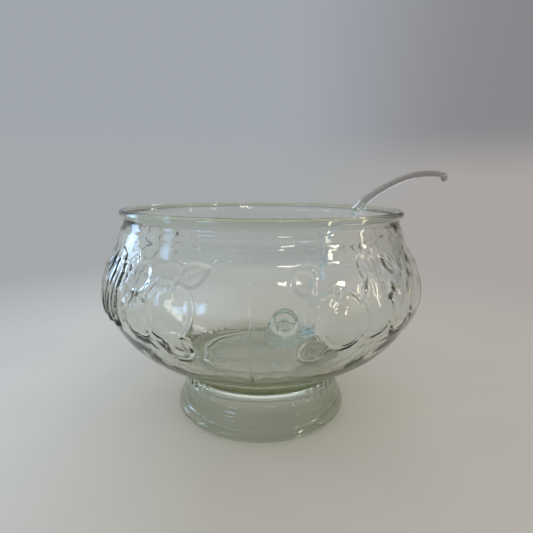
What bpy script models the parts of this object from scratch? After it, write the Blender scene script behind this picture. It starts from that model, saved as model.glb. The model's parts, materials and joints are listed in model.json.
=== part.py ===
"""A footed glass punch bowl with a two-piece ladle standing in it, in metres, +Z up.

The origin is on the bowl's axis, in the plane that the foot stands on. The bowl is a turned body. The ladle
lies in one upright plane: its cup is on the bowl's floor and its handle leans over the rim bead.
"""

import math

import bmesh
import bpy
import numpy as np
from mathutils import Matrix, Vector

MM = 0.001

# Bowl: the rim bead is a ring of round section around the mouth.
RIM_RADIUS = 120.0 * MM
RIM_TOP = 182.4 * MM
BEAD_RADIUS = 2.7 * MM
BELLY_RADIUS = 139.4 * MM
FOOT_RADIUS = 77.5 * MM
PINCH_HEIGHT = 48.0 * MM
FLOOR_HEIGHT = 45.0 * MM
FLOOR_RADIUS = 46.0 * MM
FLOOR_THICKNESS = 8.5 * MM
ROLL_RADIUS = 4.5 * MM
ROLL_HEIGHT = 5.5 * MM
RING_INNER = 67.0 * MM
RING_OUTER = 74.0 * MM
WALL_AT_RIM = 4.0 * MM
WALL_AT_PINCH = 6.4 * MM
TURNS = 60

# Ladle: headings are the centre line's slope above level, in degrees, in the ladle's own upright plane.
LADLE_AZIMUTH = 40.0
RIM_AZIMUTH = 27.0
STEM_RADIUS = 4.5 * MM
HANDLE_RADIUS = 4.2 * MM
HANDLE_TIP_RADIUS = 3.2 * MM
STEM_HEADING = 80.0
SOCKET_HEADING = 32.0
STEM_STRAIGHT = 52.0 * MM
STEM_BEND = 95.0 * MM
SOCKET_LENGTH = 20.0 * MM
SOCKET_BORE = 3.0 * MM
SOCKET_DEPTH = 14.0 * MM
TANG_RADIUS = 2.6 * MM
TANG_LENGTH = 13.0 * MM
HANDLE_BEND = 90.0 * MM
HANDLE_HEADING = 24.0
HANDLE_SWEEP = 310.0 * MM
HOOK_HEADING = -4.0
HOOK_BEND = 9.0 * MM
HOOK_END_HEADING = -80.0
CUP_RADIUS = 25.0 * MM
CUP_DEPTH = 25.0 * MM
CUP_WALL = 2.0 * MM
STEM_OVERLAP = 8.0 * MM
STEM_FUSED = 1.9 * MM
CUP_TURNS = 40
GAP = 0.3 * MM


def clear_scene():
    for obj in list(bpy.data.objects):
        bpy.data.objects.remove(obj, do_unlink=True)


def new_collection(name):
    collection = bpy.data.collections.new(name)
    bpy.context.scene.collection.children.link(collection)
    return collection


def principled(name, color, roughness, transmission):
    material = bpy.data.materials.new(name)
    material.use_nodes = True
    shader = material.node_tree.nodes["Principled BSDF"]
    shader.inputs["Base Color"].default_value = (*color, 1.0)
    shader.inputs["Roughness"].default_value = roughness
    shader.inputs["Metallic"].default_value = 0.0
    shader.inputs["Transmission Weight"].default_value = transmission
    return material


def smooth_line(stations, steps):
    """Catmull-Rom points through the stations, with the given number of steps between neighbours."""
    ends = [2 * stations[0] - stations[1]] + list(stations) + [2 * stations[-1] - stations[-2]]
    line = []
    for a, b, c, d in zip(ends, ends[1:], ends[2:], ends[3:]):
        slope = (c - a) / 2
        square = a - 2.5 * b + 2 * c - d / 2
        cube = (d - a + 3 * (b - c)) / 2
        for t in np.arange(steps) / steps:
            line.append(b + slope * t + square * t**2 + cube * t**3)
    return np.array(line + [stations[-1]])


def arc(centre, radius, start, end, count):
    """Points on an arc, its angles in degrees from the outward direction, turning up."""
    angles = np.radians(np.linspace(start, end, count))
    return np.array(centre) + radius * np.stack([np.cos(angles), np.sin(angles)], axis=1)


def outer_wall():
    """The outside of the bowl from under the bead down to the pinch, as (radius, height)."""
    stations = np.array(
        [
            (116.4, 176.6),
            (120.2, 166.5),
            (131.0, 147.5),
            (138.2, 127.5),
            (BELLY_RADIUS / MM, 115.5),
            (134.6, 98.5),
            (119.0, 77.0),
            (97.5, 60.6),
            (72.8, PINCH_HEIGHT / MM),
        ]
    )
    return smooth_line(stations * MM, 2)


def inner_wall(outside):
    """The inside of the bowl wall: the outside moved in along its normal, by a wall that thickens downwards."""
    along = np.gradient(outside, axis=0)
    along /= np.linalg.norm(along, axis=1)[:, None]
    inward = np.stack([along[:, 1], -along[:, 0]], axis=1)
    down = np.linspace(0.0, 1.0, len(outside))
    wall = WALL_AT_RIM + (WALL_AT_PINCH - WALL_AT_RIM) * down**2
    return (outside + inward * wall[:, None])[:-1]


def foot_outside():
    """The fluted neck and the rolled skirt of the foot, from below the pinch to its resting ring."""
    neck = np.array([(69.6, 42.0), (69.2, 34.0), (70.8, 24.0), (73.4, 12.0)]) * MM
    roll = arc((FOOT_RADIUS - ROLL_RADIUS, ROLL_HEIGHT), ROLL_RADIUS, 50.0, -50.0, 5)
    return np.concatenate([neck, roll, [(RING_OUTER, 0.0)]])


def foot_inside():
    """The hollow under the foot, from the resting ring up to the middle of the floor's underside."""
    ceiling = FLOOR_HEIGHT - FLOOR_THICKNESS
    side = np.array([(66.0, 1.5), (64.6, 12.0), (62.6, 24.0), (57.0, 32.5)]) * MM
    dome = np.array([(44.0 * MM, ceiling - 0.6 * MM), (0.0, ceiling)])
    return np.concatenate([[(RING_INNER, 0.0)], side, dome])


def bowl_profile():
    """The whole section, from the middle of the floor up the inside, over the bead and down the outside."""
    outside = outer_wall()
    inside = inner_wall(outside)[::-1]
    floor = np.array([(0.0, FLOOR_HEIGHT), (FLOOR_RADIUS, FLOOR_HEIGHT), (58.0 * MM, FLOOR_HEIGHT + 2.2 * MM)])
    bead = arc((RIM_RADIUS - BEAD_RADIUS, RIM_TOP - BEAD_RADIUS), BEAD_RADIUS, 215.0, -45.0, 8)
    return np.concatenate([floor, inside, bead, outside, foot_outside(), foot_inside()])


def turned(name, profile, turns, collection):
    """A body turned about Z from a profile of (radius, height) points."""
    mesh = bpy.data.meshes.new(name)
    points = [(float(radius), 0.0, float(height)) for radius, height in profile]
    mesh.from_pydata(points, [(i, i + 1) for i in range(len(points) - 1)], [])
    obj = bpy.data.objects.new(name, mesh)
    collection.objects.link(obj)
    screw = obj.modifiers.new("turn", "SCREW")
    screw.axis = "Z"
    screw.steps = turns
    screw.render_steps = turns
    screw.use_merge_vertices = True
    screw.merge_threshold = 0.00005
    screw.use_smooth_shade = True
    return obj


def build_bowl(collection):
    bowl = turned("bowl", bowl_profile(), TURNS, collection)
    bowl.data.materials.append(principled("clear_glass", (0.90, 0.94, 0.90), 0.03, 1.0))
    return bowl


def direction(heading):
    """The unit vector (along, up) of a heading."""
    return np.array([math.cos(math.radians(heading)), math.sin(math.radians(heading))])


def bend(start, heading, turn_to, radius, steps):
    """Points after start along an arc of the given radius that turns from one heading to another."""
    step = radius * math.radians(abs(turn_to - heading)) / steps
    middles = heading + (turn_to - heading) * (np.arange(steps) + 0.5) / steps
    points = [start]
    for middle in middles:
        points.append(points[-1] + step * direction(middle))
    return points[1:]


def stem_line():
    """The stem's centre line in the ladle's plane, from the cup to the mouth of the socket."""
    line = [np.zeros(2), STEM_STRAIGHT * direction(STEM_HEADING)]
    line += bend(line[-1], STEM_HEADING, SOCKET_HEADING, STEM_BEND, 9)
    line.append(line[-1] + SOCKET_LENGTH * direction(SOCKET_HEADING))
    return np.array(line)


def handle_line():
    """The handle's centre line from the mouth of the socket to the end of the hook."""
    line = [stem_line()[-1]]
    line += bend(line[-1], SOCKET_HEADING, HANDLE_HEADING, HANDLE_BEND, 3)
    line += bend(line[-1], HANDLE_HEADING, HOOK_HEADING, HANDLE_SWEEP, 12)
    line += bend(line[-1], HOOK_HEADING, HOOK_END_HEADING, HOOK_BEND, 5)
    return np.array(line)


def ladle_shift():
    """What moves the ladle's plane coordinates, so that the handle's start lies just clear of the bead."""
    first_bend = handle_line()[1]
    heading = math.radians((SOCKET_HEADING + HANDLE_HEADING) / 2)
    reach = BEAD_RADIUS + HANDLE_RADIUS + 1.4 * GAP
    bead = np.array([0.0, RIM_TOP - BEAD_RADIUS])
    return bead + reach * np.array([-math.sin(heading), math.cos(heading)]) - first_bend


def in_space(plane_points):
    """Plane coordinates (along, up) to space: the plane is upright and passes over the bead at RIM_AZIMUTH."""
    ring = RIM_RADIUS - BEAD_RADIUS
    rim = Vector((ring * math.cos(math.radians(RIM_AZIMUTH)), ring * math.sin(math.radians(RIM_AZIMUTH)), 0.0))
    along = Vector((math.cos(math.radians(LADLE_AZIMUTH)), math.sin(math.radians(LADLE_AZIMUTH)), 0.0))
    return [rim + along * float(a) + Vector((0.0, 0.0, float(up))) for a, up in plane_points]


def rod(name, points, radii, collection):
    """A round rod along the points, as a mesh with closed ends."""
    curve = bpy.data.curves.new(name + "_line", "CURVE")
    curve.dimensions = "3D"
    curve.bevel_depth = 1.0
    curve.bevel_resolution = 3
    curve.use_fill_caps = True
    spline = curve.splines.new("POLY")
    spline.points.add(len(points) - 1)
    for place, point, radius in zip(spline.points, points, radii):
        place.co = (*point, 1.0)
        place.radius = radius
    guide = bpy.data.objects.new(name + "_line", curve)
    collection.objects.link(guide)
    graph = bpy.context.evaluated_depsgraph_get()
    mesh = bpy.data.meshes.new_from_object(guide.evaluated_get(graph))
    mesh.name = name
    shape = bmesh.new()
    shape.from_mesh(mesh)
    bmesh.ops.remove_doubles(shape, verts=shape.verts, dist=0.00001)
    bmesh.ops.recalc_face_normals(shape, faces=shape.faces)
    shape.to_mesh(mesh)
    shape.free()
    obj = bpy.data.objects.new(name, mesh)
    obj.matrix_world = guide.matrix_world.copy()
    collection.objects.link(obj)
    bpy.data.objects.remove(guide, do_unlink=True)
    return obj


def cup_profile():
    """The cup's section about its own axis, its mouth at height zero."""
    angles = np.radians(np.linspace(0.0, -90.0, 10))
    outside = np.stack([CUP_RADIUS * np.cos(angles) ** 0.8, CUP_DEPTH * np.sin(angles)], axis=1)
    inner_radius = CUP_RADIUS - CUP_WALL
    inner_depth = CUP_DEPTH - CUP_WALL
    inside = np.stack([inner_radius * np.cos(angles) ** 0.8, inner_depth * np.sin(angles)], axis=1)
    outside[-1, 0] = 0.0
    inside[-1, 0] = 0.0
    return np.concatenate([inside[::-1], outside])


def boolean(obj, other, operation):
    modifier = obj.modifiers.new(other.name, "BOOLEAN")
    modifier.operation = operation
    modifier.solver = "EXACT"
    modifier.object = other
    other.hide_render = True
    other.display_type = "WIRE"


def build_ladle_cup(collection, cutters):
    """The cup with its stem, and the bore in the stem's upper end that takes the handle's tang."""
    line = stem_line() + ladle_shift()
    up = direction(STEM_HEADING)
    across = direction(STEM_HEADING - 90.0)
    mouth_centre = line[0] + STEM_OVERLAP * up - (CUP_RADIUS + STEM_RADIUS - STEM_FUSED) * across
    lean = Matrix.Rotation(math.radians(90.0 - STEM_HEADING), 4, "Y")
    azimuth = Matrix.Rotation(math.radians(LADLE_AZIMUTH), 4, "Z")
    cup = turned("ladle_cup", cup_profile(), CUP_TURNS, collection)
    cup.matrix_world = Matrix.Translation(in_space([mouth_centre])[0]) @ azimuth @ lean
    stem = rod("stem", in_space(line), [STEM_RADIUS] * len(line), cutters)
    boolean(cup, stem, "UNION")
    outwards = direction(SOCKET_HEADING)
    ends = in_space([line[-1] - outwards * SOCKET_DEPTH, line[-1] + outwards * SOCKET_BORE])
    bore = rod("socket_bore", ends, [SOCKET_BORE] * 2, cutters)
    boolean(cup, bore, "DIFFERENCE")
    cup.data.materials.append(principled("clear_plastic", (0.86, 0.93, 0.94), 0.06, 1.0))
    return cup


def build_ladle_handle(collection, cutters):
    """The curved handle: a tang inside the socket, the swept rod and the turned-down hook."""
    line = handle_line() + ladle_shift()
    outwards = direction(SOCKET_HEADING)
    line[0] += outwards * 1.5 * GAP
    share = np.linspace(0.0, 1.0, len(line))
    radii = HANDLE_RADIUS + (HANDLE_TIP_RADIUS - HANDLE_RADIUS) * share
    handle = rod("ladle_handle", in_space(line), radii, collection)
    tang_ends = in_space([line[0] - outwards * TANG_LENGTH, line[0] + outwards * TANG_RADIUS])
    tang = rod("tang", tang_ends, [TANG_RADIUS] * 2, cutters)
    boolean(handle, tang, "UNION")
    handle.data.materials.append(principled("clear_plastic_rod", (0.90, 0.92, 0.93), 0.05, 1.0))
    return handle


def main():
    clear_scene()
    parts = new_collection("punch_bowl")
    cutters = new_collection("cutters")
    cutters.hide_render = True
    build_bowl(parts)
    build_ladle_cup(parts, cutters)
    build_ladle_handle(parts, cutters)


main()
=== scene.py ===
# %% [markdown]
# # A footed glass punch bowl with its ladle
#
# The real bowl is one body of clear glass, shaped in a two-part mould, so it carries raised fruit on its
# belly, two fine mould seams, a fluted neck and a rolled foot. The ladle is clear plastic in two pieces: a
# cup with its stem, and a curved handle pushed into the stem's socket.
#
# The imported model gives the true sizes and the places. This lesson loads it as a fixed frame, and then
# builds three finer pieces in the same places, one for each of the frame's nodes.

# %% Load the frame
import json
import math

import bpy
import numpy as np
from mathutils import Matrix, Vector

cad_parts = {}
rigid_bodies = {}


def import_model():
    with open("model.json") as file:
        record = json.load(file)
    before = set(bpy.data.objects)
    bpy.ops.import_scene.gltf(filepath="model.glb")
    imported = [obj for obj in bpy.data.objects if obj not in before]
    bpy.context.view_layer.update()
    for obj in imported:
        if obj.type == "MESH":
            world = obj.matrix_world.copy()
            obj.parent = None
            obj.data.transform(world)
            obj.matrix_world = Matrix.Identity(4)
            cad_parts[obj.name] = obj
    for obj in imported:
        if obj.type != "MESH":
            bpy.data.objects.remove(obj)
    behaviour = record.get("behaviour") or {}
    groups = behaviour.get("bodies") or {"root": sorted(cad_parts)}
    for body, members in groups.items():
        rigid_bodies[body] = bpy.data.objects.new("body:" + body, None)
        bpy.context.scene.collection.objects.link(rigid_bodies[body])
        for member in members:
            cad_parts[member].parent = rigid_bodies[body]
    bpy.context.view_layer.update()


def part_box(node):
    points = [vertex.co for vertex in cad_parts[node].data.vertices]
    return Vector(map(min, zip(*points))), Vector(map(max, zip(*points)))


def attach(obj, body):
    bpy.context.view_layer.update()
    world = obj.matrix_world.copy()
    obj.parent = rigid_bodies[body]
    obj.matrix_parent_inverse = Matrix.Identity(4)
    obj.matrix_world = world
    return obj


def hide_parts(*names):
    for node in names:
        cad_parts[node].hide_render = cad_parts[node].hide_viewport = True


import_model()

# %% [markdown]
# ## Driving sizes
#
# The bowl's box in the frame gives its height and its widest radius. The other sizes are a glassmaker's:
# how thick the wall is, how far the fruit stands up, how much of it shows inside, how wide a seam is and
# how many degrees the front seam stands to one side. Lengths are in metres, as the frame's are, and `MM`
# turns millimetres into metres.

# %% Sizes that drive the bowl
MM = 0.001
bowl_low, bowl_high = (np.array(corner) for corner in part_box("bowl"))
BELLY = (bowl_high[0] - bowl_low[0]) / 2
TOP = bowl_high[2]
BEAD_RADIUS = 2.7 * MM
BEAD_RING = 117.3 * MM
BEAD_HEIGHT = TOP - BEAD_RADIUS
ROLL_RADIUS, ROLL_RING, ROLL_HEIGHT = 4.5 * MM, 73.0 * MM, 5.5 * MM
RELIEF = 3.3 * MM
WALL_AT_RIM = 3.8 * MM
WALL_AT_PINCH = 6.2 * MM
INSIDE_SHARE = 0.35
SEAM_TURN = -2.4
SEAM_WIDTH = 0.55 * MM
SEAM_HEIGHT = 0.32 * MM
AROUND = 516
print(f"belly radius {BELLY / MM:.1f} mm, height {TOP / MM:.1f} mm")

# %% [markdown]
# ## Camera
#
# A phone lens about 36 cm from the bowl's axis, a little above the rim and tipped 11.6 degrees down, looks
# along +Y. From there the rim reads as a flat ellipse and the foot stays whole. The camera is placed first,
# so that every later step can be judged through it.

# %% Camera
CAMERA_PLACE = (0.0043, -0.358, 0.2022)
TIPPED_DOWN, ROLLED = 11.56, 0.43
SENSOR_MM, LENS_MM = 36.0, 27.02
NEAREST, FARTHEST = 0.01, 50.0

bpy.ops.object.camera_add(location=CAMERA_PLACE)
camera = bpy.context.object
camera.name = "camera"
tip_down = Matrix.Rotation(math.radians(90 - TIPPED_DOWN), 3, "X")
camera.rotation_euler = (tip_down @ Matrix.Rotation(math.radians(ROLLED), 3, "Z")).to_euler()
camera.data.sensor_width = SENSOR_MM
camera.data.lens = LENS_MM
camera.data.clip_start = NEAREST
camera.data.clip_end = FARTHEST
bpy.context.scene.camera = camera
print(f"camera {-CAMERA_PLACE[1] / MM:.0f} mm in front, {(CAMERA_PLACE[2] - TOP) / MM:.0f} mm above the rim")

# %% [markdown]
# ## Small helpers
#
# An operator acts on whatever is selected, so each step starts from nothing selected. `alone` makes one
# object the only selected and active one.

# %% Selection
def alone(obj):
    for other in bpy.context.view_layer.objects:
        other.select_set(other == obj)
    bpy.context.view_layer.objects.active = obj
    return obj


print("selected:", alone(camera).name)

# %% [markdown]
# A turner marks a profile by the few points that matter and lets the curve do the rest. `smooth_line` draws
# that curve through its stations, `respaced` shares its points out by height, and `arc` gives the points of
# a round corner.

# %% Curves
def smooth_line(stations, steps):
    """Catmull-Rom points through the stations, with the given number of steps between neighbours."""
    stations = np.asarray(stations, float)
    ends = np.vstack([2 * stations[0] - stations[1], stations, 2 * stations[-1] - stations[-2]])
    line = []
    for a, b, c, d in zip(ends, ends[1:], ends[2:], ends[3:]):
        slope = (c - a) / 2
        square = a - 2.5 * b + 2 * c - d / 2
        cube = (d - a + 3 * (b - c)) / 2
        for t in np.arange(steps) / steps:
            line.append(b + slope * t + square * t**2 + cube * t**3)
    return np.array(line + [stations[-1]])


def lengths_along(line):
    """How far along the line each of its points is."""
    return np.concatenate([[0.0], np.cumsum(np.linalg.norm(np.diff(line, axis=0), axis=1))])


def respaced(line, spacing):
    """The same line with its points as far apart as `spacing` says for their height."""
    along = lengths_along(line)
    places = [0.0]
    while places[-1] < along[-1]:
        places.append(places[-1] + spacing(np.interp(places[-1], along, line[:, 1])))
    places = np.array(places[:-1]) * along[-1] / places[-2]
    return np.stack([np.interp(places, along, line[:, axis]) for axis in (0, 1)], axis=1)


def arc(centre, radius, start, end, count):
    """Points round a centre, from one angle to another in degrees."""
    angles = np.radians(np.linspace(start, end, count))
    return np.array(centre) + radius * np.stack([np.cos(angles), np.sin(angles)], axis=1)


half_circle = arc((0.0, 0.0), 1.0, 0.0, 180.0, 100)
print(f"a half circle of radius 1 measures {lengths_along(half_circle)[-1]:.3f} along its points")

# %% [markdown]
# The bowl and the ladle's cup are both round, so both are turned as on a lathe. A primitive is merged to one
# vertex, the vertex is extruded along the profile, and a Screw modifier turns the line once round Z. The
# doubles at the axis and at the join are merged, which closes the body, and its faces are made to look out.

# %% Turning
SAME_PLACE = 0.002 * MM


def turned(name, profile, around):
    """A body turned about Z from a profile of (radius, height)."""
    bpy.ops.object.select_all(action="DESELECT")
    bpy.ops.mesh.primitive_circle_add(vertices=3, radius=MM, location=(0, 0, 0))
    obj = bpy.context.object
    obj.name = obj.data.name = name
    bpy.ops.object.mode_set(mode="EDIT")
    bpy.ops.mesh.select_all(action="SELECT")
    bpy.ops.mesh.merge(type="CENTER")
    bpy.ops.transform.translate(value=(profile[0][0], 0.0, profile[0][1]))
    for here, there in zip(profile, profile[1:]):
        step = (there[0] - here[0], 0.0, there[1] - here[1])
        bpy.ops.mesh.extrude_region_move(TRANSFORM_OT_translate={"value": step})
    bpy.ops.object.mode_set(mode="OBJECT")
    turn = obj.modifiers.new("turn", "SCREW")
    turn.steps = turn.render_steps = around
    turn.use_merge_vertices = True
    turn.merge_threshold = SAME_PLACE
    bpy.ops.object.modifier_apply(modifier=turn.name)
    bpy.ops.object.mode_set(mode="EDIT")
    bpy.ops.mesh.select_all(action="SELECT")
    bpy.ops.mesh.remove_doubles(threshold=SAME_PLACE)
    bpy.ops.mesh.normals_make_consistent(inside=False)
    bpy.ops.object.mode_set(mode="OBJECT")
    bpy.ops.object.shade_smooth()
    print(f"{name}: turned to {len(obj.data.vertices):,} vertices")
    return obj

# %% [markdown]
# ## The bowl's section
#
# The glass takes the mould's shape on its outside. Where the mould is cut deep for the fruit, the plain wall
# lies further in, by the fruit's full height, so that the fruit ends at the bowl's true outline. The inside
# is roughly parallel to the outside, with a wall that thickens towards the pinch.

# %% The wall's outside and inside
OUTSIDE = np.array(
    [
        (116.4, 176.6),
        (117.0, 171.5),
        (119.2, 167.8),
        (125.2, 157.5),
        (131.4, 147.0),
        (136.6, 134.0),
        (139.3, 121.0),
        (138.6, 108.0),
        (133.2, 95.5),
        (119.6, 78.0),
        (97.5, 60.6),
        (80.5, 51.8),
        (73.6, 47.4),
    ]
) * MM


def sunk(heights):
    """How far the plain wall lies inside the outline that the fruit reaches."""
    rise = np.clip((heights - 66 * MM) / (30 * MM), 0, 1)
    fall = np.clip((168 * MM - heights) / (14 * MM), 0, 1)
    return RELIEF * rise**2 * (3 - 2 * rise) * fall**2 * (3 - 2 * fall)


def inward(line):
    """Unit normals that point into the bowl, for a line that runs down the outside."""
    along = np.gradient(line, axis=0)
    along /= np.linalg.norm(along, axis=1)[:, None]
    return np.stack([along[:, 1], -along[:, 0]], axis=1)


POINTS_OVER_FLOOR = 14
fine_outline = smooth_line(OUTSIDE, 12)
plain_outside = fine_outline + inward(fine_outline) * sunk(fine_outline[:, 1])[:, None]
share_down = lengths_along(plain_outside)
share_down = share_down / share_down[-1]
wall_thickness = WALL_AT_RIM + (WALL_AT_PINCH - WALL_AT_RIM) * share_down**2
inside_line = (plain_outside + inward(plain_outside) * wall_thickness[:, None])[:-POINTS_OVER_FLOOR]
print(f"wall from {wall_thickness[0] / MM:.1f} to {wall_thickness[-1] / MM:.1f} mm thick")

# %% [markdown]
# The section runs from the middle of the floor up the inside, over the rim bead, down the outside to the
# pinch, round the foot and back to the axis underneath. Its points lie close together where the fruit and
# the foot's rings are, and further apart where the glass is plain, which keeps the piece light.

# %% The whole section
def outside_spacing(height):
    return 1.3 * MM if 92 * MM < height < 163 * MM else 3.0 * MM


def inside_spacing(height):
    return 3.4 * MM if 88 * MM < height < 158 * MM else 7.0 * MM


def neck_spacing(height):
    return 0.8 * MM if height < 24.5 * MM else 2.2 * MM


BLEND_STEPS = 4
floor_line = smooth_line(np.array([(0.0, 45.0), (30.0, 45.0), (46.0, 45.2), (57.0, 47.4)]) * MM, 2)
corner = smooth_line(np.vstack([floor_line[-2:], inside_line[::-1][:2]]), BLEND_STEPS)
blend_in = corner[BLEND_STEPS : 2 * BLEND_STEPS + 1]
wall_inside = respaced(inside_line[::-1], inside_spacing)
bead = arc((BEAD_RING, BEAD_HEIGHT), BEAD_RADIUS, 212.0, -42.0, 12)
wall_outside = respaced(plain_outside, outside_spacing)
neck_marks = [(71.2, 44.6), (69.8, 41.0), (69.2, 34.0), (69.9, 27.0), (71.4, 20.0), (72.6, 10.4)]
neck = respaced(smooth_line(np.array(neck_marks) * MM, 12), neck_spacing)
roll = arc((ROLL_RING, ROLL_HEIGHT), ROLL_RADIUS, 62.0, -62.0, 8)
ring = np.array([(74.4, 0.15), (73.6, 0.0), (67.4, 0.0), (66.7, 0.15)]) * MM
hollow = [(66.0, 1.5), (64.6, 12.0), (62.6, 24.0), (57.0, 32.5), (44.0, 35.9), (20.0, 36.5), (0.0, 36.5)]
under = smooth_line(np.array(hollow) * MM, 2)
stretches = {
    "floor": floor_line,
    "inside": np.concatenate([blend_in[1:-1], wall_inside]),
    "bead": bead,
    "outside": wall_outside,
    "foot": np.concatenate([neck, roll]),
    "under": np.concatenate([ring, under]),
}
section = np.concatenate(list(stretches.values()))
stretch_of_row = np.repeat(list(stretches), [len(line) for line in stretches.values()])
section_along = np.gradient(section, axis=0)
section_along /= np.linalg.norm(section_along, axis=1)[:, None]
section_normals = np.stack([-section_along[:, 1], section_along[:, 0]], axis=1)
print(f"section of {len(section)} points, {2 * AROUND * (len(section) - 1):,} triangles when turned")

# %% [markdown]
# ## The raised fruit
#
# The mould maker cuts fruit into the mould, so on the glass it stands up: apples, pears, plums, bananas,
# cherries and leaves, heaped in a band round the belly. Each half of the mould has the same cutting, so the
# pattern is drawn once over 180 degrees and used twice.
#
# Carving each fruit as its own solid would leave hard joins in the glass. A relief map works better: a
# height for each place on the wall, in which every fruit is laid over the ones behind it. A place is
# given as a turn in degrees from the seam, and a height. Sizes are in millimetres on the wall.

# %% The relief map's grid
MEAN_RADIUS = 137.0
DEGREE = math.radians(1.0) * MEAN_RADIUS
TURN_STEP, HEIGHT_STEP = 0.3, 0.6
TURNS_ON_MAP = np.arange(0.0, 180.0, TURN_STEP)
HEIGHTS_ON_MAP = np.arange(56.0, 168.0, HEIGHT_STEP)
turn_grid, height_grid = np.meshgrid(TURNS_ON_MAP, HEIGHTS_ON_MAP)
slope_line = fine_outline[::-1] / MM
wall_length = lengths_along(slope_line)
length_grid = np.interp(height_grid, slope_line[:, 1], wall_length)
relief = np.zeros_like(turn_grid)
print(f"map of {len(TURNS_ON_MAP)} turns by {len(HEIGHTS_ON_MAP)} heights, {DEGREE:.1f} mm a degree")

# %% [markdown]
# A form is drawn from its depth, which is how many millimetres a place lies inside the form's outline. `dome`
# turns the depth into a swelling with a low, rounded edge, and `lay` puts it over what is already there, in a
# fine groove that keeps one fruit apart from the next.

# %% Laying one form over another
def step_up(value, low, high):
    """A smooth step from 0 to 1 as the value goes from low to high."""
    t = np.clip((value - low) / (high - low), 0.0, 1.0)
    return t * t * (3 - 2 * t)


def around(turn, height, tilt=0.0):
    """Distances in mm from a place on the wall, across and up, turned by the tilt in degrees."""
    across = (turn_grid - turn) * DEGREE
    up = length_grid - np.interp(height, slope_line[:, 1], wall_length)
    c, s = math.cos(math.radians(tilt)), math.sin(math.radians(tilt))
    return across * c + up * s, up * c - across * s


def dome(depth, size, height, edge=1.15):
    """A rounded form over an outline: a low edge, and a swelling that is highest at the full size."""
    share = np.clip(depth / size, 0.0, 1.0)
    lip = 0.45 * np.exp(-(((depth - 1.1) / 0.8) ** 2))
    return edge + (height - edge) * (1 - (1 - share) ** 2) + lip


def lay(depth, form, groove=0.8):
    """Lays a form over the relief where depth is positive, with a fine groove round its outline."""
    global relief
    relief = relief - groove * np.exp(-(((depth + 0.8) / 0.9) ** 2))
    cover = step_up(depth, -0.8, 0.6)
    relief = relief * (1 - cover) + form * cover


swelling = dome(np.array([0.0, 15.0]), 15.0, 2.6)
print(f"a dome of 15 mm rises from {swelling[0]:.2f} mm at its edge to {swelling[1]:.2f} mm")

# %% [markdown]
# ### Fruit
#
# Each fruit is an outline and a swelling. An apple is a circle with a dip where the stalk goes in, and a plum
# is a plain circle with one crease. A pear is two circles run together, and a banana is a bent bar with long
# flats.

# %% Apples and plums
def apple(turn, height, size, tilt=0.0, rise=2.6):
    across, up = around(turn, height, tilt)
    angle = np.arctan2(across, up)
    outline = size * (1 - 0.10 * np.exp(-((angle / 0.45) ** 2)) + 0.04 * np.cos(2 * angle))
    depth = outline - np.hypot(across, up)
    form = dome(depth, size, rise)
    form = form - 1.1 * np.exp(-((across / 3.6) ** 2 + ((up - 0.66 * size) / 3.8) ** 2))
    crease = np.hypot(across - 0.42 * size, up - 0.5 * size) - 0.62 * size
    on_shoulder = step_up(up, -0.3 * size, 0.3 * size) * step_up(-across, -3, 3)
    lay(depth, form - 0.35 * np.exp(-((crease / 1.2) ** 2)) * on_shoulder)
    stalk = 1.1 - np.hypot(across - 0.12 * (up - size), np.clip(np.abs(up - 0.95 * size) - 3.5, 0, None))
    lay(stalk, dome(stalk, 1.2, 1.4, 0.9), 0.2)


def plum(turn, height, size, tilt=0.0, rise=1.7):
    across, up = around(turn, height, tilt)
    depth = size - np.hypot(across, up)
    crease = across - 0.25 * size + 0.012 * up**2
    lay(depth, dome(depth, size, rise, 0.9) - 0.28 * np.exp(-((crease / 1.1) ** 2)), 0.6)

# %% Pears and bananas
def pear(turn, height, size, tilt=0.0, rise=2.6):
    across, up = around(turn, height, tilt)
    belly = np.hypot(across, up) - size
    crown = np.hypot(across, up - 1.25 * size) - 0.52 * size
    soft = 0.55 * size
    join = np.clip(0.5 + 0.5 * (crown - belly) / soft, 0, 1)
    depth = -(crown * (1 - join) + belly * join - soft * join * (1 - join))
    lay(depth, dome(depth, 0.9 * size, rise))
    stalk = 1.0 - np.hypot(across, np.clip(np.abs(up - 1.95 * size) - 3.0, 0, None))
    lay(stalk, dome(stalk, 1.0, 1.1, 0.7), 0.2)


def banana(turn, height, length, width, bow, tilt=0.0, rise=2.0):
    across, up = around(turn, height, tilt)
    bent = across - bow * (1 - (2 * up / length) ** 2)
    share = np.clip(1 - (2 * up / length) ** 2, 0, 1)
    depth = width * share**0.45 - np.abs(bent)
    depth = np.minimum(depth, length / 2 - np.abs(up))
    flats = 0.16 * np.cos(bent / width * 2.4 * math.pi) * step_up(depth, 0, 2)
    lay(depth, dome(depth, width, rise) + flats)

# %% [markdown]
# ### Leaves and folds
#
# A leaf is a pointed lens with a raised edge, a midrib and side veins that slant up from it. Under the fruit
# soft arcs hang on the lower wall like folds of cloth, which carry the pattern down towards the pinch.

# %% Leaves and folds
def leaf(turn, height, length, width, tilt=0.0, rise=0.7, veins=5):
    across, up = around(turn, height, tilt)
    share = np.clip(0.5 + up / length, 0, 1)
    half = width * np.sin(math.pi * share) ** 0.8 * (1.12 - 0.3 * share)
    depth = np.minimum(half - np.abs(across), length / 2 - np.abs(up))
    edge = 0.40 * np.exp(-(((depth - 1.2) / 1.0) ** 2))
    midrib = 0.45 * np.exp(-((across / 1.0) ** 2))
    ribs = (up - 0.75 * np.abs(across)) / length * veins
    on_blade = step_up(depth, 0.8, 2.4) * step_up(np.abs(across), 0.6, 1.8)
    side_veins = 0.22 * np.cos(2 * math.pi * ribs) * on_blade
    lay(depth, rise + edge + midrib + side_veins, 0.3)


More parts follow.
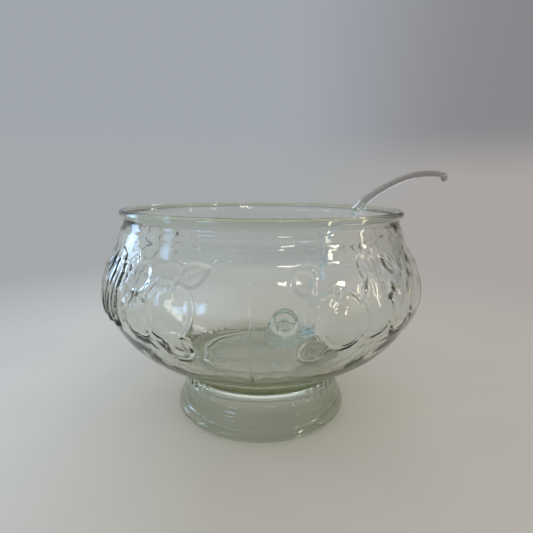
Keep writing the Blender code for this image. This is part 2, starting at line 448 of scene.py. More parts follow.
def swag(turn, height, reach):
    """Three soft arcs that hang under the fruit like a fold."""
    global relief
    across, up = around(turn, height)
    away = np.hypot(across, 1.25 * up)
    below = step_up(-up, 2.0, 9.0)
    for number in range(3):
        from_arc = away - reach + 4.6 * number
        relief = relief + (0.28 - 0.06 * number) * np.exp(-((from_arc / 2.0) ** 2)) * below

# %% [markdown]
# ### The heap
#
# The order is the depth: what is laid later lies in front. The folds go first and the leaves next, then the
# fruit, with those that the others overlap before the rest. A small heap of round fruit is laid in rows of
# three, two and one. The whole pattern fades out at the seams, where the two halves of the mould meet.

# %% The pattern of one half of the mould
for place in (20.0, 47.0, 78.0, 108.0, 138.0, 163.0):
    swag(place, 103.0, 30.0)
leaf(16.0, 151.0, 15.0, 4.6, tilt=-75.0)
leaf(36.0, 151.5, 25.0, 9.5, tilt=-28.0, rise=1.0, veins=6)
leaf(46.0, 151.0, 17.0, 6.5, tilt=35.0, rise=0.9)
leaf(64.0, 147.0, 26.0, 10.0, tilt=20.0, rise=0.9)
leaf(80.0, 146.0, 28.0, 10.0, tilt=-50.0, rise=0.9)
leaf(99.0, 148.0, 26.0, 10.0, tilt=42.0, rise=0.9)
leaf(117.0, 147.0, 28.0, 10.0, tilt=-35.0, rise=0.9)
leaf(131.0, 150.0, 22.0, 8.0, tilt=30.0)
leaf(140.0, 148.0, 20.0, 7.0, tilt=-15.0)
leaf(164.0, 148.0, 24.0, 8.0, tilt=-66.0, rise=0.9)
leaf(66.0, 100.0, 28.0, 10.0, tilt=120.0)
leaf(101.0, 99.0, 28.0, 10.0, tilt=-115.0)
pear(58.0, 126.0, 14.0, tilt=-18.0, rise=3.2)
apple(46.5, 121.0, 15.0, tilt=14.0)
pear(35.5, 123.0, 14.5, tilt=-8.0, rise=2.8)
apple(24.5, 121.0, 17.5, tilt=10.0)
plum(16.5, 103.0, 9.0, tilt=30.0)
plum(14.5, 144.0, 7.5)
plum(8.8, 123.0, 7.5)
banana(70.0, 128.0, 46.0, 7.0, 5.0, tilt=8.0)
banana(76.0, 126.0, 46.0, 7.0, 5.0, tilt=2.0)
apple(89.0, 124.0, 17.0, tilt=-12.0)
pear(103.0, 120.0, 14.5, tilt=16.0)
for row, count in enumerate((3, 2, 1)):
    for number in range(count):
        plum(114.0 + 5.4 * (number - (count - 1) / 2), 136.0 - 11.0 * row, 7.2)
banana(124.5, 129.0, 48.0, 6.4, -5.0, tilt=-6.0)
banana(130.0, 128.0, 48.0, 6.4, -5.0, tilt=-4.0)
banana(135.5, 127.0, 46.0, 6.4, -5.0, tilt=-2.0)
pear(140.5, 130.0, 9.5, tilt=8.0, rise=2.2)
plum(145.5, 143.0, 10.0, tilt=-20.0)
apple(157.5, 126.0, 18.0, tilt=-14.0)
apple(146.5, 118.0, 13.5, tilt=10.0, rise=2.4)
plum(160.0, 101.5, 10.5, tilt=70.0, rise=1.4)
fade = step_up(turn_grid, 3.0, 7.0) * step_up(180 - turn_grid, 3.0, 7.0) * step_up(height_grid, 60.0, 74.0)
relief = np.clip(relief * fade, -0.8, RELIEF / MM)
print(f"relief from {relief.min():.2f} to {relief.max():.2f} mm")

# %% [markdown]
# ### From the map to the glass
#
# The front takes the map almost as it is. At the sides and on the back half the cutting is softer and
# shallower, as it comes out where a mould pulls away at a slant, and that also keeps the far wall from
# crowding the view through the near one. The inside takes a much softer copy, about a third as high, because
# thick hot glass follows the mould only slowly.

# %% Softer copies of the map
WALL_STEP = 0.7


def blurred(heights, across_mm, up_mm):
    """The map with its heights softened over the given distances."""

    def kernel(sigma):
        reach = int(3 * sigma) + 1
        weights = np.exp(-0.5 * (np.arange(-reach, reach + 1) / sigma) ** 2)
        return weights / weights.sum()

    sideways = kernel(across_mm / (TURN_STEP * DEGREE))
    upwards = kernel(up_mm / WALL_STEP)
    pad = len(sideways) // 2
    wrapped = np.concatenate([heights[:, -pad:], heights, heights[:, :pad]], axis=1)
    rows = np.array([np.convolve(row, sideways, mode="valid") for row in wrapped])
    pad = len(upwards) // 2
    tall = np.pad(rows, ((pad, pad), (0, 0)), mode="edge")
    return np.array([np.convolve(column, upwards, mode="valid") for column in tall.T]).T


at_side = step_up(30.0 - np.abs(turn_grid - 90.0), -18.0, 6.0)
relief_outside = blurred(relief, 0.35, 0.4) * (1 - at_side) + 0.55 * blurred(relief, 1.5, 1.5) * at_side
relief_behind = 0.6 * blurred(relief, 1.3, 1.3)
relief_inside = blurred(relief, 2.8, 2.8)
for name, made in (("outside", relief_outside), ("behind", relief_behind), ("inside", relief_inside)):
    print(f"{name}: {made.min():.2f} to {made.max():.2f} mm")

# %% [markdown]
# A turned body has its vertices evenly round. A fruit's edge needs them close together, and so does a seam
# half a millimetre wide, while plain glass needs few. `detail` and `seam_pull` say how much each place on the
# map asks for. `read_map` gives the map's value between its own points.

# %% Where the vertices are needed
detail = blurred(np.abs(np.gradient(relief_outside, axis=1)), 1.0, 2.5)
detail = 2.4 * np.clip(detail / np.percentile(detail, 97), 0, 1)
from_line = np.minimum(TURNS_ON_MAP, 180.0 - TURNS_ON_MAP)
seam_pull = 1 + 14.0 * np.exp(-((from_line / 0.5) ** 2))


def read_map(heights, turns_deg, heights_mm):
    """The map's value at each place, with the places between its points filled in."""
    x = (turns_deg % 180.0) / TURN_STEP
    y = np.clip((heights_mm - HEIGHTS_ON_MAP[0]) / HEIGHT_STEP, 0, len(HEIGHTS_ON_MAP) - 1.001)
    x0, y0 = x.astype(int) % heights.shape[1], y.astype(int)
    x1 = (x0 + 1) % heights.shape[1]
    fx, fy = x - np.floor(x), y - y0
    low = heights[y0, x0] * (1 - fx) + heights[y0, x1] * fx
    high = heights[y0 + 1, x0] * (1 - fx) + heights[y0 + 1, x1] * fx
    inside = (heights_mm > HEIGHTS_ON_MAP[0]) & (heights_mm < HEIGHTS_ON_MAP[-1])
    return (low * (1 - fy) + high * fy) * inside


busiest = HEIGHTS_ON_MAP[detail.mean(axis=1).argmax()]
print(f"most detail at {busiest:.0f} mm up, and {seam_pull.max():.0f} times as many vertices on a seam")

# %% [markdown]
# ### Turn and press
#
# The turned body is plain. First its vertices are shared out round each row. `pressed` then moves them along
# the wall's normal: the fruit, the flutes of the neck, the fine rings of the foot and the seams are all small
# moves.

# %% Share out the vertices of each row
AT_ONCE = 4000


def rows_of(radius, height):
    """The section point that each vertex was turned from."""
    rows = np.empty(len(radius), int)
    for start in range(0, len(radius), AT_ONCE):
        part = slice(start, start + AT_ONCE)
        away = (radius[part, None] - section[:, 0]) ** 2 + (height[part, None] - section[:, 1]) ** 2
        rows[part] = away.argmin(axis=1)
    return rows


def gathered(turn, heights_mm, rows):
    """Shares out each row's turns, so that they lie close together where the map has detail."""
    shared = turn.copy()
    half = np.floor(turn / 180.0) * 180.0
    for row in np.unique(rows):
        here = rows == row
        pull = seam_pull
        if stretch_of_row[row] == "outside":
            line = (heights_mm[here].mean() - HEIGHTS_ON_MAP[0]) / HEIGHT_STEP
            pull = seam_pull + detail[int(np.clip(line, 0, len(HEIGHTS_ON_MAP) - 1))]
        filled = np.concatenate([[0.0], np.cumsum(pull)])
        places = np.append(TURNS_ON_MAP, 180.0)
        shared[here] = half[here] + np.interp((turn - half)[here] / 180.0, filled / filled[-1], places)
    return shared


bowl_piece = turned("bowl_glass", section, AROUND)

# %% [markdown]
# The flutes stand on the neck at both sides, and fade towards the seams. The rings run right round the foot,
# above its roll. Each is a plain cosine, limited to its own band by smooth steps.

# %% Press the relief into the bowl
FLUTES = 52
FLUTE_DEPTH = 0.5 * MM
RING_HEIGHT = 0.3 * MM
RING_PITCH_MM = 3.1


def pressed(obj):
    """Moves each vertex along the wall's normal by the fruit, flutes, rings and seams at its place."""
    mesh = obj.data
    spots = np.empty(len(mesh.vertices) * 3)
    mesh.vertices.foreach_get("co", spots)
    spots = spots.reshape(-1, 3)
    radius = np.hypot(spots[:, 0], spots[:, 1])
    height = spots[:, 2]
    rows = rows_of(radius, height)
    stretch, normal = stretch_of_row[rows], section_normals[rows]
    heights_mm = height / MM
    turn = gathered(np.degrees(np.arctan2(spots[:, 0], -spots[:, 1])) - SEAM_TURN, heights_mm, rows)
    from_seam = np.radians((turn + 90.0) % 180.0 - 90.0) * radius
    seam = SEAM_HEIGHT * np.exp(-((from_seam / SEAM_WIDTH) ** 2))
    in_front = step_up(np.cos(np.radians(turn + SEAM_TURN)), -0.55, 0.1)
    cut_in_front = read_map(relief_outside, turn, heights_mm) * in_front
    cut_behind = read_map(relief_behind, turn, heights_mm) * (1 - in_front)
    fruit = (cut_in_front + cut_behind) * MM + seam * step_up(176.0 - heights_mm, 0.0, 4.0)
    follow = -INSIDE_SHARE * read_map(relief_inside, turn, heights_mm) * MM
    on_neck = step_up(heights_mm, 24.0, 31.0) * step_up(45.5 - heights_mm, 0.0, 5.0)
    off_seams = step_up(np.abs((turn + 90.0) % 180.0 - 90.0), 26.0, 38.0)
    flutes = -FLUTE_DEPTH * (0.5 + 0.5 * np.cos(np.radians(turn * FLUTES))) * on_neck * off_seams
    on_rings = step_up(heights_mm, 9.5, 12.0) * step_up(25.5 - heights_mm, 0.0, 3.0)
    rings = RING_HEIGHT * np.cos(2 * math.pi * heights_mm / RING_PITCH_MM) * on_rings
    moves = {"outside": fruit, "inside": follow, "foot": flutes + rings + seam}
    push = np.select([stretch == name for name in moves], list(moves.values()), 0.0)
    radius = radius + normal[:, 0] * push
    height = height + normal[:, 1] * push
    angle = np.radians(turn + SEAM_TURN)
    spots = np.stack([radius * np.sin(angle), -radius * np.cos(angle), height], axis=1)
    mesh.vertices.foreach_set("co", spots.ravel())
    mesh.update()
    print("vertices:", {str(name): int((stretch == name).sum()) for name in stretches})


pressed(bowl_piece)
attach(bowl_piece, "bowl")
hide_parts("bowl")
widest = max(vertex.co.x for vertex in bowl_piece.data.vertices)
print(f"bowl: widest {widest / MM:.1f} mm from the axis, against {BELLY / MM:.1f} mm in the frame")

# %% [markdown]
# ## The ladle
#
# The ladle's cup and stem are one moulding. The stem leaves the cup's side almost upright, bends over
# towards the rim and ends in a socket with a square outside. The handle is a clear rod with a plug that
# sits in the socket, a long easy curve and a hook that turns down. All of it lies in one upright plane, so
# its shape is worked out in two numbers, along and up, and only then placed in space. A heading is the
# slope of the line in degrees, and it changes along a bend. The handle lies just clear of the rim bead.

# %% The ladle's sizes
LADLE_AZIMUTH, RIM_AZIMUTH = 40.0, 27.0
STEM_HEADING, SOCKET_HEADING, HANDLE_HEADING = 80.0, 32.0, 24.0
HOOK_HEADING, HOOK_END_HEADING = -4.0, -80.0
STEM_STRAIGHT, STEM_BEND, HANDLE_BEND, HANDLE_SWEEP, HOOK_BEND = (
    size * MM for size in (52, 95, 90, 310, 9)
)
STEM_RADIUS, HANDLE_RADIUS, TIP_RADIUS = 4.5 * MM, 4.2 * MM, 3.2 * MM
SOCKET_LENGTH, SOCKET_DEPTH, SOCKET_BORE = 20 * MM, 14 * MM, 3.0 * MM
PLUG_LENGTH, PLUG_RADIUS = 13 * MM, 2.6 * MM
CUP_RADIUS, CUP_DEPTH, CUP_WALL = 25.0 * MM, 25.0 * MM, 2.0 * MM
CUP_BELOW, STEM_FUSED = 8 * MM, 1.9 * MM
CLEAR_OF_BEAD = 0.42 * MM
print(f"cup {2 * CUP_RADIUS / MM:.0f} mm wide, stem {2 * STEM_RADIUS / MM:.0f} mm thick")

# %% The ladle's centre line
def direction(heading):
    """A step of length 1 along the heading."""
    return np.array([math.cos(math.radians(heading)), math.sin(math.radians(heading))])


def bend(start, heading, turn_to, radius, steps):
    """Points after start along an arc of the given radius that turns from one heading to another."""
    step = radius * math.radians(abs(turn_to - heading)) / steps
    points = [start]
    for middle in heading + (turn_to - heading) * (np.arange(steps) + 0.5) / steps:
        points.append(points[-1] + step * direction(middle))
    return points[1:]


up_stem = direction(STEM_HEADING)
stem_line = [np.zeros(2), STEM_STRAIGHT / 2 * up_stem, STEM_STRAIGHT * up_stem]
stem_line += bend(stem_line[-1], STEM_HEADING, SOCKET_HEADING, STEM_BEND, 16)
stem_line.append(stem_line[-1] + SOCKET_LENGTH * direction(SOCKET_HEADING))
handle_line = [stem_line[-1]]
handle_line += bend(handle_line[-1], SOCKET_HEADING, HANDLE_HEADING, HANDLE_BEND, 4)
over_bead = stem_line[-1] + bend(np.zeros(2), SOCKET_HEADING, HANDLE_HEADING, HANDLE_BEND, 3)[0]
handle_line += bend(handle_line[-1], HANDLE_HEADING, HOOK_HEADING, HANDLE_SWEEP, 24)
hook_start = len(handle_line) - 1
handle_line += bend(handle_line[-1], HOOK_HEADING, HOOK_END_HEADING, HOOK_BEND, 10)
rest_heading = (SOCKET_HEADING + HANDLE_HEADING) / 2
reach = BEAD_RADIUS + HANDLE_RADIUS + CLEAR_OF_BEAD
shift = np.array([0.0, BEAD_HEIGHT]) + reach * direction(rest_heading + 90.0) - over_bead
stem_line = np.array(stem_line) + shift
handle_line = np.array(handle_line) + shift


def in_space(plane_points):
    """(along, up) to space: the plane is upright and passes over the bead at RIM_AZIMUTH."""
    rim, outwards = BEAD_RING * direction(RIM_AZIMUTH), direction(LADLE_AZIMUTH)
    return [Vector((*(rim + outwards * along), up)) for along, up in plane_points]


handle_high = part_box("ladle_handle")[1]
tip = in_space(handle_line[-1:])[0]
print("handle's tip", [round(v, 4) for v in tip], "in the box up to", [round(v, 4) for v in handle_high])

# %% [markdown]
# ### Rods
#
# A rod is drawn as a curve with a round or rounded-square section, and then made a mesh, because a mesh can
# be cut, joined and shaded like the rest. The curve's caps close its ends, once their doubles are merged.

# %% Rods from curves
def rod(name, points, radii, section_object=None, sides=6):
    """A closed rod along the points, as thick as the radius at each, round unless it is given a section."""
    bpy.ops.object.select_all(action="DESELECT")
    bpy.ops.curve.primitive_bezier_curve_add(location=(0, 0, 0))
    obj = bpy.context.object
    curve = obj.data
    obj.name = curve.name = name
    curve.splines.clear()
    curve.dimensions = "3D"
    curve.use_fill_caps = True
    if section_object is None:
        curve.bevel_depth = 1.0
        curve.bevel_resolution = sides
    else:
        curve.bevel_mode = "OBJECT"
        curve.bevel_object = section_object
    spline = curve.splines.new("POLY")
    spline.points.add(len(points) - 1)
    for place, point, radius in zip(spline.points, points, radii):
        place.co = (*point, 1.0)
        place.radius = radius
    alone(obj)
    bpy.ops.object.convert(target="MESH")
    obj = bpy.context.object
    bpy.ops.object.mode_set(mode="EDIT")
    bpy.ops.mesh.select_all(action="SELECT")
    bpy.ops.mesh.remove_doubles(threshold=0.005 * MM)
    bpy.ops.mesh.normals_make_consistent(inside=False)
    bpy.ops.object.mode_set(mode="OBJECT")
    return obj


def joined(obj, other, operation):
    """Adds or cuts the other object with an exact Boolean, and removes the other."""
    alone(obj)
    change = obj.modifiers.new("join", "BOOLEAN")
    change.operation = operation
    change.solver = "EXACT"
    change.object = other
    bpy.ops.object.modifier_apply(modifier=change.name)
    bpy.data.objects.remove(other, do_unlink=True)
    print(f"{obj.name}: {operation.lower()} leaves {len(obj.data.polygons):,} faces")

# %% [markdown]
# ### The cup
#
# The cup is a small deep bowl with a thin wall and a rounded lip. It is turned upright at the origin, then
# tipped over with the stem's slope and moved so that the stem's foot sinks a little into its side.

# %% The cup
lip = arc((CUP_RADIUS - CUP_WALL / 2, 0.0), CUP_WALL / 2, 180.0, 0.0, 9)
cup_turns = np.radians(np.linspace(-2.0, -90.0, 24))
fullness = np.cos(cup_turns) ** 0.8
cup_outside = np.stack([CUP_RADIUS * fullness, CUP_DEPTH * np.sin(cup_turns)], axis=1)
inner_radius, inner_depth = CUP_RADIUS - CUP_WALL, CUP_DEPTH - CUP_WALL
cup_inside = np.stack([inner_radius * fullness, inner_depth * np.sin(cup_turns)], axis=1)
cup_outside[-1, 0] = cup_inside[-1, 0] = 0.0
ladle_cup = turned("ladle_scoop", np.concatenate([cup_inside[::-1], lip, cup_outside]), 96)
from_stem = CUP_RADIUS + STEM_RADIUS - STEM_FUSED
mouth_centre = stem_line[0] + CUP_BELOW * up_stem - from_stem * direction(STEM_HEADING - 90.0)
ladle_cup.matrix_world = (
    Matrix.Translation(in_space([mouth_centre])[0])
    @ Matrix.Rotation(math.radians(LADLE_AZIMUTH), 4, "Z")
    @ Matrix.Rotation(math.radians(90.0 - STEM_HEADING), 4, "Y")
)
alone(ladle_cup)
bpy.ops.object.transform_apply(location=True, rotation=True, scale=True)
print("cup's mouth centre:", [round(value, 4) for value in in_space([mouth_centre])[0]])

# %% [markdown]
# ### The stem and its socket
#
# The stem's section is a circle whose curve handles are drawn out, which squares it a little. The stem is
# joined to the cup with an exact Boolean, because the two really are one moulding, and the socket is then
# bored into its upper end.

# %% The stem and its socket
SQUARENESS = 1.35
SOFT_EDGE = math.radians(38)
PAST_THE_END = 3 * MM

bpy.ops.object.select_all(action="DESELECT")
bpy.ops.curve.primitive_bezier_circle_add(radius=1.0)
square = bpy.context.object
for point in square.data.splines[0].bezier_points:
    for arm in ("handle_left", "handle_right"):
        setattr(point, arm, point.co + (getattr(point, arm) - point.co) * SQUARENESS)
square.data.resolution_u = 8
fine_stem = smooth_line(stem_line, 3)
stem = rod("stem", in_space(fine_stem), [STEM_RADIUS] * len(fine_stem), section_object=square)
joined(ladle_cup, stem, "UNION")
out = direction(SOCKET_HEADING)
bore_line = [stem_line[-1] - SOCKET_DEPTH * out, stem_line[-1] + PAST_THE_END * out]
bore = rod("bore", in_space(bore_line), [SOCKET_BORE] * 2)
joined(ladle_cup, bore, "DIFFERENCE")
alone(ladle_cup)
bpy.ops.object.shade_smooth_by_angle(angle=SOFT_EDGE)
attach(ladle_cup, "ladle")
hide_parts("ladle_cup")
bpy.data.objects.remove(square, do_unlink=True)

# %% [markdown]
# ### The handle
#
# The rod thins evenly from the socket to its tip. Just before the hook it narrows to a neck, and the hook
# swells a little past it, as on a rod that was softened and bent over. Its plug is a thinner rod with room
# all round it in the socket.

# %% The handle
CURVE_STEPS = 3
SHOULDER_GAP = 0.45 * MM
NECK_DEPTH, NECK_SHARE, HOOK_SWELL = 0.30, 0.012, 0.30
rod_line = smooth_line(np.vstack([handle_line[0] + SHOULDER_GAP * out, handle_line[1:]]), CURVE_STEPS)
along = lengths_along(rod_line)
along_share = along / along[-1]
hook_share = along_share[hook_start * CURVE_STEPS]
past_hook = np.clip((along_share - hook_share) / (1 - hook_share), 0.0, 1.0)
radii = HANDLE_RADIUS + (TIP_RADIUS - HANDLE_RADIUS) * along_share
radii = radii * (1 - NECK_DEPTH * np.exp(-(((along_share - hook_share) / NECK_SHARE) ** 2)))
radii = radii * (1 + HOOK_SWELL * np.sin(math.pi * past_hook))
handle = rod("ladle_rod", in_space(rod_line), radii, sides=10)
plug_line = [rod_line[0] - PLUG_LENGTH * out, rod_line[0] + PLUG_RADIUS * out]
plug = rod("plug", in_space(plug_line), [PLUG_RADIUS] * 2, sides=8)
joined(handle, plug, "UNION")
alone(handle)
bpy.ops.object.shade_smooth_by_angle(angle=SOFT_EDGE)
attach(handle, "ladle")
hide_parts("ladle_handle")
print(f"handle: {along[-1] / MM:.0f} mm along its curve, {2 * min(radii) / MM:.1f} mm thick at its neck")

# %% [markdown]
# ## Materials
#
# Shader maths reads best as plain expressions. `Socket` wraps an output socket, so that
# `0.02 + 0.12 * scuffs**3` adds its Math nodes by itself. `Finish` adds any other node from its type,
# settings and inputs, and holds the few patterns that the finishes share.

# %% A small language for shader nodes
class Socket:
    """An output socket that can be used in arithmetic."""

    def __init__(self, finish, output):
        self.finish, self.output = finish, output

    def math(self, operation, *values):
        return self.finish.node("ShaderNodeMath", {"operation": operation}, dict(enumerate(values)))

    def __add__(self, other):
        return self.math("ADD", self, other)

    def __mul__(self, other):
        return self.math("MULTIPLY", self, other)

    def __pow__(self, other):
        return self.math("POWER", self, other)

    __radd__ = __add__
    __rmul__ = __mul__


class Finish:
    """A material or a world with its nodes, started from nothing but its output."""

    def __init__(self, name, world=False):
        library = bpy.data.worlds if world else bpy.data.materials
        self.material = library.new(name)
        self.material.use_nodes = True
        self.tree = self.material.node_tree
        self.tree.nodes.clear()
        self.out = self.tree.nodes.new("ShaderNodeOutputWorld" if world else "ShaderNodeOutputMaterial")

    def node(self, kind, settings=None, inputs=None, output=0):
        made = self.tree.nodes.new(kind)
        for name, value in (settings or {}).items():
            setattr(made, name, value)
        for name, value in (inputs or {}).items():
            if isinstance(value, Socket):
                self.tree.links.new(value.output, made.inputs[name])
            else:
                made.inputs[name].default_value = value
        return Socket(self, made.outputs[output])

    def place(self):
        """Object coordinates: metres in the frame, because each finished piece sits at the origin."""
        return self.node("ShaderNodeTexCoord", output="Object")

    def noise(self, scale, detail):
        inputs = {"Vector": self.place(), "Scale": scale, "Detail": detail}
        return self.node("ShaderNodeTexNoise", {}, inputs)

    def mixed(self, share, first, second):
        """A colour between two colours."""
        return self.node("ShaderNodeMix", {"data_type": "RGBA"}, {0: share, 6: first, 7: second}, output=2)

    def ramp(self, value, low, high):
        """A smooth step from 0 to 1 as the value goes from low to high."""
        inputs = {"Value": value, "From Min": low, "From Max": high}
        return self.node("ShaderNodeMapRange", {"interpolation_type": "SMOOTHSTEP"}, inputs)

    def bump(self, height, strength, distance, normal=None):
        inputs = {"Height": height, "Strength": strength, "Distance": distance}
        if normal:
            inputs["Normal"] = normal
        return self.node("ShaderNodeBump", {}, inputs)

    def finish(self, surface, volume=None):
        self.tree.links.new(surface.output, self.out.inputs["Surface"])
        if volume:
            self.tree.links.new(volume.output, self.out.inputs["Volume"])
        return self.material

    def clear_to_light(self, glass, tint):
        """Lets lamps shine through: rays that only ask how much light arrives go straight on, tinted."""
        shadow_ray = self.node("ShaderNodeLightPath", output="Is Shadow Ray")
        diffuse_ray = self.node("ShaderNodeLightPath", output="Is Diffuse Ray")
        either = shadow_ray.math("MAXIMUM", shadow_ray, diffuse_ray)
        through = self.node("ShaderNodeBsdfTransparent", {}, {"Color": tint})
        return self.node("ShaderNodeMixShader", {}, {0: either, 1: glass, 2: through})

# %% [markdown]
# ### Bowl glass
#
# Cheap clear glass is faintly green-brown, which shows where light goes a long way through it, so the colour
# is a volume absorption. The bead is thicker glass, and a weak olive tint by height helps it. The foot is
# tinted darker by height as well, partly for its thicker glass and partly as painted shade, which stands in
# for the shadowed floor under and inside the foot that shows through it. The mould leaves the skin gently
# uneven at three sizes, and wiping leaves a few dull smears.

# %% Bowl glass
CLEAR_GLASS = (0.985, 0.995, 0.985, 1.0)
THICK_GLASS_AND_FOOT_SHADE = (0.70, 0.735, 0.69, 1.0)
BEAD_GLASS = (0.82, 0.84, 0.73, 1.0)
IN_THE_GLASS, GLASS_DENSITY = (0.775, 0.79, 0.68, 1.0), 42.0
GLASS_SHADOW = (0.92, 0.925, 0.91, 1.0)

glass = Finish("clear_glass")
uneven = glass.bump(glass.noise(38.0, 1.0), 0.25, 1.2 * MM)
ripples = glass.bump(glass.noise(150.0, 1.0), 0.16, 0.4 * MM, uneven)
skin = glass.bump(glass.noise(900.0, 2.0), 0.04, 0.1 * MM, ripples)
smears = glass.noise(55.0, 3.0)
height = glass.node("ShaderNodeSeparateXYZ", {}, {0: glass.place()}, output="Z")
# Painted shade: below the neck the base colour turns darker, partly for the foot's thick glass and partly for
# the shadowed floor seen through the foot.
wall_and_foot_shade = glass.mixed(glass.ramp(height, 22 * MM, 32 * MM), THICK_GLASS_AND_FOOT_SHADE, CLEAR_GLASS)
base_tint_and_foot_shade = glass.mixed(glass.ramp(height, 175 * MM, 178 * MM), wall_and_foot_shade, BEAD_GLASS)
body = glass.node(
    "ShaderNodeBsdfPrincipled",
    {},
    {
        "Base Color": base_tint_and_foot_shade,
        "Roughness": 0.008 + 0.05 * smears**4,
        "IOR": 1.5,
        "Transmission Weight": 1.0,
        "Normal": skin,
    },
)
absorb = glass.node("ShaderNodeVolumeAbsorption", {}, {"Color": IN_THE_GLASS, "Density": GLASS_DENSITY})
bowl_piece.data.materials.append(glass.finish(glass.clear_to_light(body, GLASS_SHADOW), absorb))
print("bowl glass:", len(glass.tree.nodes), "nodes")

# %% [markdown]
# ### Ladle plastics
#
# The cup and its stem are a faintly blue clear plastic, and the rod is a greyer one that takes more of the
# light. Both have slow flow marks from moulding and fine dull scuffs from use, so one function makes both.

# %% Ladle plastics
PLASTIC_SHADOW = (0.92, 0.95, 0.96, 1.0)
CUP_COLOUR, IN_THE_CUP, CUP_DENSITY = (0.96, 0.99, 1.0, 1.0), (0.50, 0.82, 0.86, 1.0), 30.0
ROD_COLOUR, IN_THE_ROD, ROD_DENSITY = (0.93, 0.93, 0.92, 1.0), (0.52, 0.50, 0.47, 1.0), 125.0


def clear_plastic(name, colour, absorb, density):
    plastic = Finish(name)
    flow = plastic.noise(120.0, 1.5)
    scuffs = plastic.noise(420.0, 4.0)
    normal = plastic.bump(flow, 0.15, 0.6 * MM)
    shader = plastic.node(
        "ShaderNodeBsdfPrincipled",
        {},
        {
            "Base Color": colour,
            "Roughness": 0.02 + 0.12 * scuffs**3,
            "IOR": 1.49,
            "Transmission Weight": 1.0,
            "Normal": normal,
        },
    )
    depth = plastic.node("ShaderNodeVolumeAbsorption", {}, {"Color": absorb, "Density": density})
    return plastic.finish(plastic.clear_to_light(shader, PLASTIC_SHADOW), depth)


cup_plastic = clear_plastic("clear_plastic", CUP_COLOUR, IN_THE_CUP, CUP_DENSITY)
rod_plastic = clear_plastic("clear_plastic_rod", ROD_COLOUR, IN_THE_ROD, ROD_DENSITY)
for piece, plastic in ((ladle_cup, cup_plastic), (handle, rod_plastic)):
    piece.data.materials.clear()
    piece.data.materials.append(plastic)
    print(piece.name, "is made of", plastic.name)

# %% [markdown]
# ## Floor, air and lamps
#
# Clear glass shows only what it bends and mirrors, so the room matters more than for any other material.
# The floor is a pale cloth with painted light in its colour: paler and cooler on the left, where the window's
# light falls, and darker and warmer on the right, as painted shade with warm lamp light. Further out it turns
# into a plain glow, which runs into the air behind with no edge.

# %% Floor
COOL_GROUND, WARM_GROUND = (0.375, 0.395, 0.405, 1.0), (0.40, 0.375, 0.36, 1.0)
# Painted light in the cloth's colours: lit and cool for the left side, shaded and warm for the right side.
COOL_LIT_CLOTH, COOL_LIT_CLOTH_PALE = (0.66, 0.665, 0.625, 1.0), (0.73, 0.73, 0.69, 1.0)
WARM_SHADED_CLOTH, WARM_SHADED_CLOTH_PALE = (0.52, 0.475, 0.415, 1.0), (0.585, 0.54, 0.475, 1.0)

bpy.ops.object.select_all(action="DESELECT")
bpy.ops.mesh.primitive_circle_add(vertices=96, radius=6.0, fill_type="NGON", location=(0, 0, 0))
floor = bpy.context.object
floor.name = "floor"
cloth = Finish("pale_floor")
where = cloth.place()
away = cloth.node("ShaderNodeVectorMath", {"operation": "LENGTH"}, {0: where}, output="Value")
bearing = cloth.node("ShaderNodeVectorMath", {"operation": "NORMALIZE"}, {0: where})
to_right = cloth.node("ShaderNodeSeparateXYZ", {}, {0: bearing})
ground_colour = cloth.mixed(cloth.ramp(to_right, 0.0, 0.5), COOL_GROUND, WARM_GROUND)
patches = cloth.noise(9.0, 3.0)
weave = cloth.noise(1500.0, 1.0)
sideways = cloth.node("ShaderNodeSeparateXYZ", {}, {0: where})
# Painted light: the cloth turns from paler and cooler on the left, where the window's light falls, to darker
# and warmer on the right, as painted shade with warm lamp light.
cool_lit_cloth = cloth.mixed(patches, COOL_LIT_CLOTH, COOL_LIT_CLOTH_PALE)
warm_shaded_cloth = cloth.mixed(patches, WARM_SHADED_CLOTH, WARM_SHADED_CLOTH_PALE)
cloth_and_painted_light = cloth.mixed(cloth.ramp(sideways, -0.28, 0.02), cool_lit_cloth, warm_shaded_cloth)
matte = cloth.node(
    "ShaderNodeBsdfPrincipled",
    {},
    {"Base Color": cloth_and_painted_light, "Roughness": 0.9, "Normal": cloth.bump(weave, 0.1, 0.2 * MM)},
)
glow = cloth.node("ShaderNodeEmission", {}, {"Color": ground_colour, "Strength": 1.0})
far = cloth.ramp(away, 0.15, 0.8)
near_and_far = cloth.node("ShaderNodeMixShader", {}, {0: far, 1: matte, 2: glow})
floor.data.materials.append(cloth.finish(near_and_far))
print("floor:", len(cloth.tree.nodes), "nodes")

# %% [markdown]
# The air is a pale wall that meets the floor's glow at the horizon and brightens towards the ceiling. Soft
# patches of light stand in it: they are what the rounded edges of the glass gather, a cool window on the
# left, a warm one on the right and a dim corner beside it.

# %% Air
COOL_WALL, WARM_WALL = (0.362, 0.39, 0.425, 1.0), (0.248, 0.243, 0.258, 1.0)
CEILING = (0.95, 0.98, 1.0, 1.0)

room = Finish("room", world=True)
bpy.context.scene.world = room.material
ray = room.node("ShaderNodeTexCoord", output="Generated")
height = room.node("ShaderNodeSeparateXYZ", {}, {0: ray}, output="Z")
to_right = room.node("ShaderNodeSeparateXYZ", {}, {0: ray})
wall_colour = room.mixed(room.ramp(to_right, 0.0, 0.5), COOL_WALL, WARM_WALL)
ground_colour = room.mixed(room.ramp(to_right, 0.0, 0.5), COOL_GROUND, WARM_GROUND)
wall_colour = room.mixed(room.ramp(height, 0.0, 0.14), ground_colour, wall_colour)
light = room.mixed(room.ramp(height, 0.38, 1.0), wall_colour, CEILING)


def glow_from(colours, towards, inner, outer, glow_colour):
    """Adds a soft patch of light, from the inner to the outer angle in degrees round a direction."""
    inputs = {0: ray, 1: Vector(towards).normalized()}
    facing = room.node("ShaderNodeVectorMath", {"operation": "DOT_PRODUCT"}, inputs, output="Value")
    share = room.ramp(facing, math.cos(math.radians(outer)), math.cos(math.radians(inner)))
    return room.mixed(share, colours, (*glow_colour, 1.0))


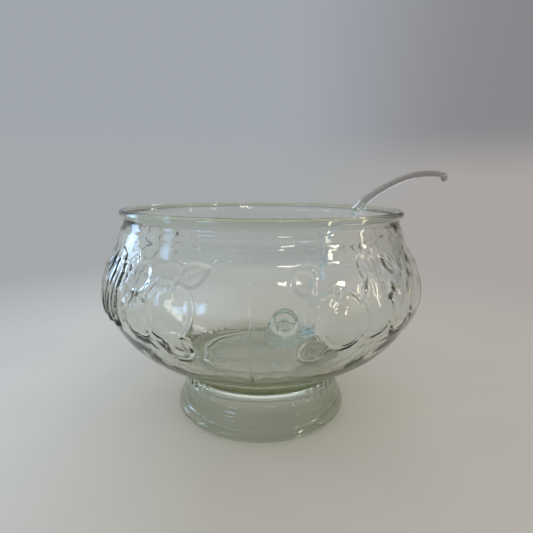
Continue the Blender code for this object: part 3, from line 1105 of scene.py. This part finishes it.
light = glow_from(light, (-1.0, 0.0, 0.10), 25.0, 55.0, (0.60, 0.68, 0.78))
light = glow_from(light, (0.96, 0.26, 0.05), 22.0, 38.0, (0.17, 0.16, 0.15))
light = glow_from(light, (-0.66, -0.74, 0.10), 4.0, 40.0, (0.72, 0.90, 1.12))
light = glow_from(light, (-0.96, 0.22, 0.12), 4.0, 32.0, (0.75, 0.90, 1.08))
light = glow_from(light, (0.95, -0.30, 0.20), 4.0, 26.0, (0.85, 0.76, 0.62))
room.finish(room.node("ShaderNodeBackground", {}, {"Color": light, "Strength": 1.0}))
print("air:", len(room.tree.nodes), "nodes")

# %% [markdown]
# Each lamp is a rectangle of light, and its own reflection is what shows in the glass. A cool window stands
# in front on the left and warm lamps on the right. The narrow upright strips draw the fine bright lines down
# the belly's sides, and a long thin one behind lights the rim.

# %% Lamps
def soft_light(name, place, target, width, height, power, colour):
    """A rectangle of light that faces its target, with its size in metres and its power in watts."""
    bpy.ops.object.light_add(type="AREA", location=place)
    lamp = bpy.context.object
    lamp.name = name
    lamp.data.shape = "RECTANGLE"
    lamp.data.size, lamp.data.size_y = width, height
    lamp.data.energy = power
    lamp.data.color = colour
    lamp.rotation_euler = (Vector(target) - Vector(place)).to_track_quat("-Z", "Y").to_euler()


middle = (0.0, 0.0, 0.1)
soft_light("window_left", (-1.0, -1.15, 0.30), middle, 0.32, 0.26, 1.5, (0.42, 0.66, 1.0))
soft_light("lamp_right", (1.10, -0.75, 0.75), middle, 0.12, 0.08, 1.0, (1.0, 0.88, 0.68))
soft_light("lamp_front", (0.45, -1.30, 1.05), middle, 0.34, 0.07, 1.7, (1.0, 0.90, 0.74))
soft_light("strip_behind", (0.35, 1.25, 1.15), (0.15, 0.1, 0.2), 1.1, 0.08, 1.2, (0.94, 0.97, 1.0))
soft_light("strip_right", (1.15, -0.96, 0.42), middle, 0.05, 0.40, 1.2, (1.0, 0.90, 0.72))
soft_light("strip_far_right", (1.42, -0.25, 0.40), middle, 0.06, 0.45, 1.1, (1.0, 0.91, 0.76))
soft_light("strip_left", (-1.40, -0.45, 0.45), middle, 0.18, 0.45, 1.1, (0.38, 0.62, 1.0))
soft_light("strip_far_left", (-1.35, 0.55, 0.35), middle, 0.30, 0.45, 2.0, (0.40, 0.64, 1.0))

# %% [markdown]
# Light inside thick glass is reflected many times before it comes out, and a path that is cut short leaves a
# black line. So many bounces are allowed. Caustics are left out, because they are noisy and the shadow's
# tint already stands in for them.

# %% Light paths and colour
BOUNCES, CLEAR_PASSES = 40, 32
scene = bpy.context.scene
scene.cycles.max_bounces = BOUNCES
scene.cycles.transmission_bounces = BOUNCES
scene.cycles.glossy_bounces = BOUNCES
scene.cycles.transparent_max_bounces = CLEAR_PASSES
scene.cycles.caustics_reflective = False
scene.cycles.caustics_refractive = False
scene.cycles.use_denoising = True
scene.view_settings.view_transform = "Standard"
scene.view_settings.look = "None"
scene.view_settings.exposure = 0.0
print(f"{BOUNCES} bounces, {scene.view_settings.view_transform} view")
